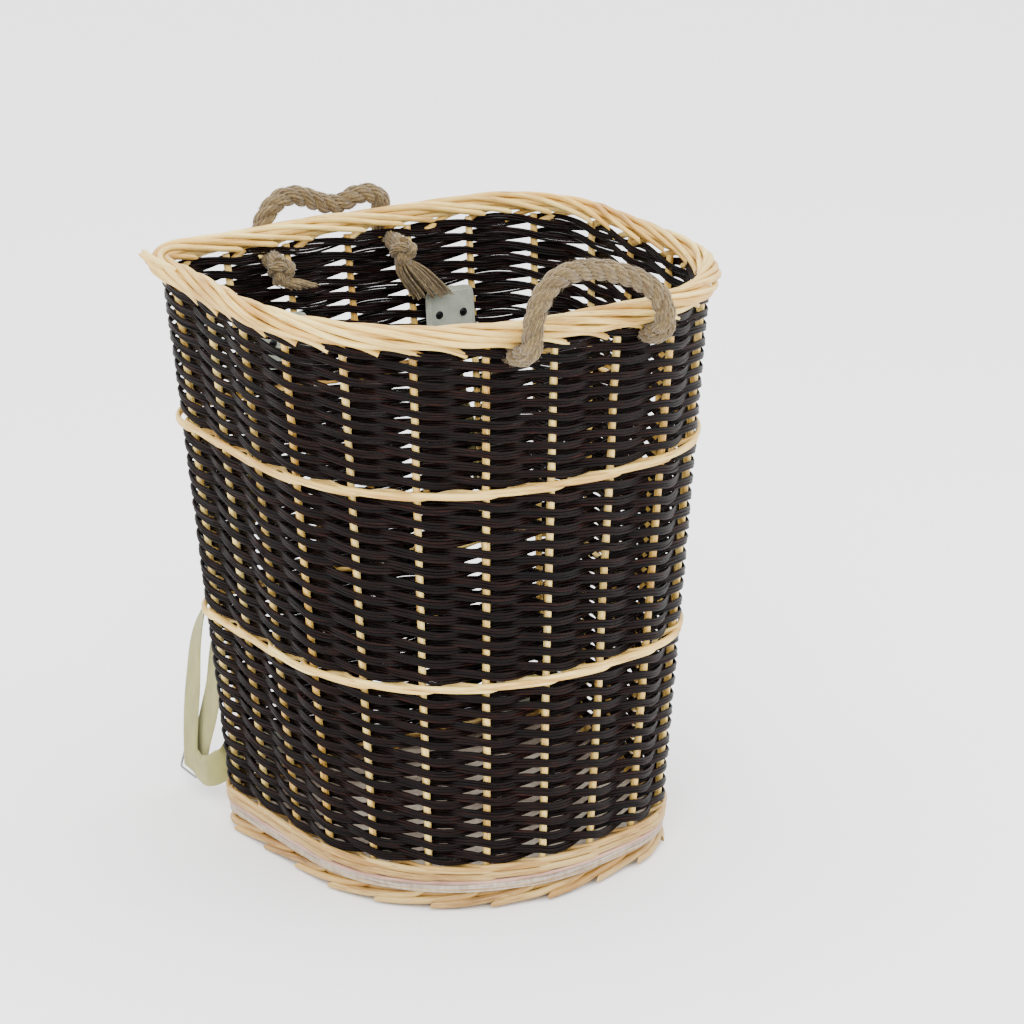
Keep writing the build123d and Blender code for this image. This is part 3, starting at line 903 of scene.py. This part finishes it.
TOP_AND_LOOP = [
    ((-111, back_y(111, 582, WEB_OUT), 582), ALONG_X),
    ((-111, back_y(111, 530, WEB_OUT), 530), ALONG_X),
    ((-117, back_y(111, 480, WEB_OUT + 1), 480), ALONG_X),
    ((-136, back_y(136, 400, 10), 400), ALONG_X),
    ((-168, back_y(168, 342, 15), 342), ALONG_X),
    ((-174, back_y(174, 330, 16), 330), ALONG_X),
    ((-182, 250, 314), (0.97, 0.25, 0)),
    ((-203, 255, 268), (0.75, 0.66, 0)),
    ((-218, 272, 205), (0.2, 0.98, 0)),
    ((-222, 280, 140), ALONG_Y),
    ((-222.5, 291, 71), ALONG_Y),
    ((-222.5, 292, 24), ALONG_Y),
]
TAIL = [
    ((-214.8, 290, 24), ALONG_Y),
    ((-214.8, 272, 71), ALONG_Y),
    ((-215, 242, 140), ALONG_Y),
    ((-209, 240, 205), (0.2, 0.98, 0)),
    ((-194, 244, 255), (0.75, 0.66, 0)),
    ((-176, 246, 300), (0.97, 0.25, 0)),
]
LOWER = [
    ((-150, back_y(150, 79, WEB_OUT), 79), UP_THE_WALL),
    ((-166, back_y(166, 79, WEB_OUT), 79), UP_THE_WALL),
    ((-184.5, back_y(184.5, 79, WEB_OUT + 0.4), 79), UP_THE_WALL),
    ((-190, back_y(190, 79, WEB_OUT + 1.5), 78.5), UP_THE_WALL),
    ((-199, back_y(199, 79, WEB_OUT + 5), 74), UP_THE_WALL),
    ((-212, 214, 62), (0, 0.05, 1)),
    ((-226, 234, 44), ALONG_Z),
    ((-227.5, 256, 40), (0, -0.4, 0.9)),
    ((-228, 268, 45), (0, -0.6, 0.8)),
]


def through(stations, side):
    """Smooth line and width directions through webbing stations."""
    places = np.array([place for place, _ in stations], float) / 1000 * [side, 1, 1]
    widths = np.array([width for _, width in stations], float) * [side, 1, 1]
    widths = widths / np.linalg.norm(widths, axis=1, keepdims=True)
    run = np.concatenate([[0], np.cumsum(np.linalg.norm(np.diff(places, axis=0), axis=1))])
    values = np.hstack([places, widths])
    slopes = np.gradient(values, run, axis=0)
    at = np.linspace(0, run[-1], int(run[-1] / WEB_STEP))
    i = np.clip(np.searchsorted(run, at, side="right") - 1, 0, len(run) - 2)
    span = (run[i + 1] - run[i])[:, None]
    t = (at - run[i])[:, None] / span
    made = (
        (2 * t**3 - 3 * t**2 + 1) * values[i]
        + (t**3 - 2 * t**2 + t) * span * slopes[i]
        + (3 * t**2 - 2 * t**3) * values[i + 1]
        + (t**3 - t**2) * span * slopes[i + 1]
    )
    return made[:, :3], made[:, 3:]


def webbing(bundle, stations, side):
    """Flat webbing with rounded selvedges, laid through its stations."""
    line, widths = through(stations, side)
    tangents = directions(line)
    widths = widths - tangents * (widths * tangents).sum(1)[:, None]
    widths = widths / np.linalg.norm(widths, axis=1, keepdims=True)
    faces_out = np.cross(tangents, widths)
    across = np.linspace(-1, 1, 15)
    crown = 0.86 + 0.14 * np.sqrt(1 - across**2)
    ring_a = np.concatenate([across, across[::-1][1:-1]])
    ring_b = np.concatenate([np.sqrt(1 - across**8), -np.sqrt(1 - across[::-1][1:-1]**8)])
    ring_b = ring_b * np.concatenate([crown, crown[1:-1]])
    a = ring_a * WEB_WIDTH / 2
    b = ring_b * WEB_THICKNESS / 2
    sway = smooth_noise(len(line), 12, 0.985, 1.0)
    sideways = widths[:, None] * (a[None] * sway[:, None])[..., None]
    rings = line[:, None] + sideways + faces_out[:, None] * b[None, :, None]
    count, sides = len(line), len(a)
    along = np.linspace(0, count * WEB_STEP, count)
    grain = np.stack([
        np.repeat(along[:, None], sides, 1),
        np.repeat(a[None], count, 0),
        np.repeat(b[None], count, 0),
    ], -1)
    faces = []
    for i in range(count - 1):
        for j in range(sides):
            m = (j + 1) % sides
            faces.append([i * sides + j, i * sides + m, (i + 1) * sides + m, (i + 1) * sides + j])
    faces.append(list(range(sides))[::-1])
    faces.append([(count - 1) * sides + j for j in range(sides)])
    bundle.add(rings.reshape(-1, 3), faces, grain.reshape(-1, 3), 0.5)


def sewn_line(bundle, corners, step=0.0042, depth=0.0004):
    """Short thread stitches along straight runs between corners."""
    for first, last in zip(corners, corners[1:]):
        first, last = np.array(first, float), np.array(last, float)
        count = max(2, int(np.linalg.norm(last - first) / step))
        for k in range(count):
            a = first + (last - first) * (k + 0.12) / count
            b = first + (last - first) * (k + 0.82) / count
            stitch = np.array([a, (a * 2 + b) / 3, (a + 2 * b) / 3, b])
            bundle.tube(stitch, depth, sides=6, tint=0.5)


def sewn_patch(name, x, z, width, height):
    """Felt patch with rounded corners and a sewn edge, on the inside of the back wall."""
    bundle = Bundle()
    lean = math.atan2(71, 643)
    y = back_y(x, z, -WALL_THICKNESS - PATCH_GAP - PATCH_THICKNESS / 2) / 1000
    centre = np.array([x / 1000, y, z / 1000])
    up = np.array([0, math.sin(lean), math.cos(lean)])
    outward = np.array([0, math.cos(lean), -math.sin(lean)])
    right = np.array([1.0, 0, 0])
    n = 26
    grid = np.linspace(-1, 1, n)
    s, t = np.meshgrid(grid, grid)
    corner = np.clip((s**6 + t**6), 1, None) ** (1 / 6)
    s, t = s / corner, t / corner
    rim = np.clip(1 - (s**8 + t**8) ** (1 / 8), 0, 1)
    thick = 0.00125 * np.clip(rim / 0.06, 0.25, 1) ** 0.5
    ripple = 0.00025 * np.sin(s * 5 + x) * np.sin(t * 4)
    place = centre + right * (s * width / 2)[..., None] + up * (t * height / 2)[..., None]
    for sign in (-1, 1):
        layer = place + outward * (sign * thick + ripple)[..., None]
        grain = np.stack([s * width / 2, t * height / 2, np.zeros_like(s)], -1)
        faces = []
        for i in range(n - 1):
            for j in range(n - 1):
                quad = [i * n + j, i * n + j + 1, (i + 1) * n + j + 1, (i + 1) * n + j]
                faces.append(quad if sign < 0 else quad[::-1])
        bundle.add(layer.reshape(-1, 3), faces, grain.reshape(-1, 3), 0.5)
    edge = [(i, 0) for i in range(n - 1)] + [(n - 1, j) for j in range(n - 1)]
    edge += [(i, n - 1) for i in range(n - 1, 0, -1)] + [(0, j) for j in range(n - 1, 0, -1)]
    line = np.array([place[i, j] + outward * ripple[i, j] for i, j in edge])
    bundle.tube(line, 0.0009, sides=6, closed=True)
    made = bundle.piece(name, patch_felt)
    return made, centre, right, up, outward


def rivet_head(bundle, centre, axis, radius, height):
    """Domed head turned about its axis, with a rounded edge."""
    profile = [
        (0.0, 1.0), (0.35, 0.96), (0.62, 0.83), (0.82, 0.58), (0.95, 0.28), (1.0, 0.0), (0.96, -0.12),
    ]
    side = np.array([1.0, 0, 0])
    other = np.cross(axis, side)
    points = []
    sides = 24
    for share, rise in profile:
        for k in range(sides):
            angle = 2 * math.pi * k / sides
            spoke = side * math.cos(angle) + other * math.sin(angle)
            points.append(centre + spoke * radius * max(share, 0.01) + axis * height * rise)
    faces = []
    for i in range(len(profile) - 1):
        for j in range(sides):
            m = (j + 1) % sides
            faces.append([i * sides + j, (i + 1) * sides + j, (i + 1) * sides + m, i * sides + m])
    points = np.array(points)
    faces.append(list(range(sides)))
    faces.append([(len(profile) - 1) * sides + j for j in range(sides)][::-1])
    bundle.add(points, faces, points - centre, 0.5)


for hand, side in (("left", 1), ("right", -1)):
    body = f"strap_{hand}"
    bundle = Bundle()
    webbing(bundle, TOP_AND_LOOP, side)
    loop = bundle.piece(f"strap_{hand}_web", web_outer)
    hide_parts(f"strap_{hand}_top", f"strap_{hand}_loop")
    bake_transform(loop)
    bundle = Bundle()
    webbing(bundle, TAIL, side)
    tail = bundle.piece(f"strap_{hand}_tail_web", web_outer)
    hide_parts(f"strap_{hand}_tail")
    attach(tail, body)
    bundle = Bundle()
    webbing(bundle, LOWER, side)
    lower = bundle.piece(f"strap_{hand}_lower_web", web_outer)
    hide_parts(f"strap_{hand}_foot_tab", f"strap_{hand}_lower")
    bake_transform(lower)

    sewing = Bundle()
    for node, x, z, width, height in (
        (f"strap_{hand}_patch", 111, 557, 0.064, 0.062),
        (f"strap_{hand}_foot_patch", 166, 79, 0.044, 0.046),
    ):
        made, centre, right, up, outward = sewn_patch(f"{node}_felt", -x * side, z, width, height)
        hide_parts(node)
        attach(made, "basket")
        front = centre - outward * 0.0013
        a, b = width / 2 - 0.005, height / 2 - 0.005
        box = [(-a, -b), (a, -b), (a, b), (-a, b), (-a, -b)]
        sewn_line(sewing, [front + right * s + up * t for s, t in box])
    y_top = back_y(111, 578, WEB_OUT + 1.4) / 1000
    y_low = back_y(111, 539, WEB_OUT + 1.4) / 1000
    left = -0.111 * side - 0.015
    right_x = -0.111 * side + 0.015
    sewn_line(sewing, [
        (left, y_low, 0.539), (right_x, y_low, 0.539),
        (right_x, y_top, 0.578), (left, y_top, 0.578), (left, y_low, 0.539),
    ])
    stitches = sewing.piece(f"strap_{hand}_stitches", thread)
    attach(stitches, "basket")

    bundle = Bundle()
    for x, z in ((95, 557), (127, 557), (166, 69), (166, 89)):
        inner = back_y(x, z, -WALL_THICKNESS - PATCH_GAP - PATCH_THICKNESS - RIVET_LIFT) / 1000
        outer = back_y(x, z, WEB_OUT + 2.6) / 1000
        place = np.array([-x * side / 1000, 0, z / 1000])
        rivet_head(bundle, place + [0, inner, 0], np.array([0, -1.0, 0]), 0.005, 0.0018)
        rivet_head(bundle, place + [0, outer, 0], np.array([0, 1.0, 0]), 0.005, 0.0018)
        bundle.tube(np.linspace(place + [0, inner, 0], place + [0, outer, 0], 5), 0.0025, sides=12)
    rivets = bundle.piece(f"strap_{hand}_rivet_set", black_metal, 40)
    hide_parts(f"strap_{hand}_rivets")
    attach(rivets, "basket")

    bundle = Bundle()
    wire = 0.0014
    half_y, half_z, bend = 0.023 - wire, 0.015 - wire, 0.004
    corners = []
    for cy, cz, start in (
        (half_y - bend, half_z - bend, 0),
        (-half_y + bend, half_z - bend, 90),
        (-half_y + bend, -half_z + bend, 180),
        (half_y - bend, -half_z + bend, 270),
    ):
        for angle in np.radians(start + np.linspace(0, 90, 7)):
            up = cz + bend * math.sin(angle)
            corners.append(((-3.4 + up / half_z * 4.4) * side / 1000, cy + bend * math.cos(angle), up))
    centre = np.array([-0.218 * side, 0.292, 0.034])
    bundle.tube(centre + np.array(corners), wire, sides=12, closed=True)
    bar = np.linspace([-0.0034 * side, -half_y, 0], [-0.0034 * side, half_y, 0], 8)
    bundle.tube(centre + bar, wire * 0.95, sides=12)
    slider = bundle.piece(f"strap_{hand}_slider_wire", steel, 40)
    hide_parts(f"strap_{hand}_slider")
    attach(slider, f"slider_{hand}")


# ------------------------------------------------------ floor, light and camera

floor_mesh = bpy.data.meshes.new("floor")
floor_mesh.from_pydata([(-9, -9, 0), (9, -9, 0), (9, 9, 0), (-9, 9, 0)], [], [(0, 1, 2, 3)])
floor = bpy.data.objects.new("floor", floor_mesh)
bpy.context.scene.collection.objects.link(floor)
floor.location.z = cad_low.z - 0.0005
floor_finish = Finish("floor", 0.9, 0.1)
floor_finish.shader.inputs["Base Color"].default_value = (0.96, 0.96, 0.96, 1)
floor_mesh.materials.append(floor_finish.material)

world = bpy.data.worlds.new("studio")
bpy.context.scene.world = world
world.use_nodes = True
world.node_tree.nodes["Background"].inputs["Color"].default_value = (1, 1, 1, 1)
world.node_tree.nodes["Background"].inputs["Strength"].default_value = 2.8


def soft_box(name, place, target, size, power):
    light = bpy.data.lights.new(name, "AREA")
    light.shape = "SQUARE"
    light.size = size
    light.energy = power
    holder = bpy.data.objects.new(name, light)
    bpy.context.scene.collection.objects.link(holder)
    holder.location = place
    holder.rotation_mode = "QUATERNION"
    holder.rotation_quaternion = (Vector(target) - Vector(place)).to_track_quat("-Z", "Y")


soft_box("key", (-1.6, -2.2, 2.8), (0, 0, 0.4), 1.6, 80)
soft_box("fill", (2.4, -1.6, 1.8), (0, 0, 0.4), 1.8, 25)
soft_box("top", (0.2, 0.3, 3.2), (0, 0, 0.3), 2.0, 40)

camera_data = bpy.data.cameras.new("camera")
camera_data.lens = 127.3
camera_data.sensor_width = 36
camera = bpy.data.objects.new("camera", camera_data)
bpy.context.scene.collection.objects.link(camera)
camera.location = (-1.950, -3.333, 1.775)
aim = Vector((0.0713, 0.0322, 0.377)) - camera.location
camera.rotation_mode = "QUATERNION"
camera.rotation_quaternion = aim.to_track_quat("-Z", "Y")
bpy.context.scene.camera = camera
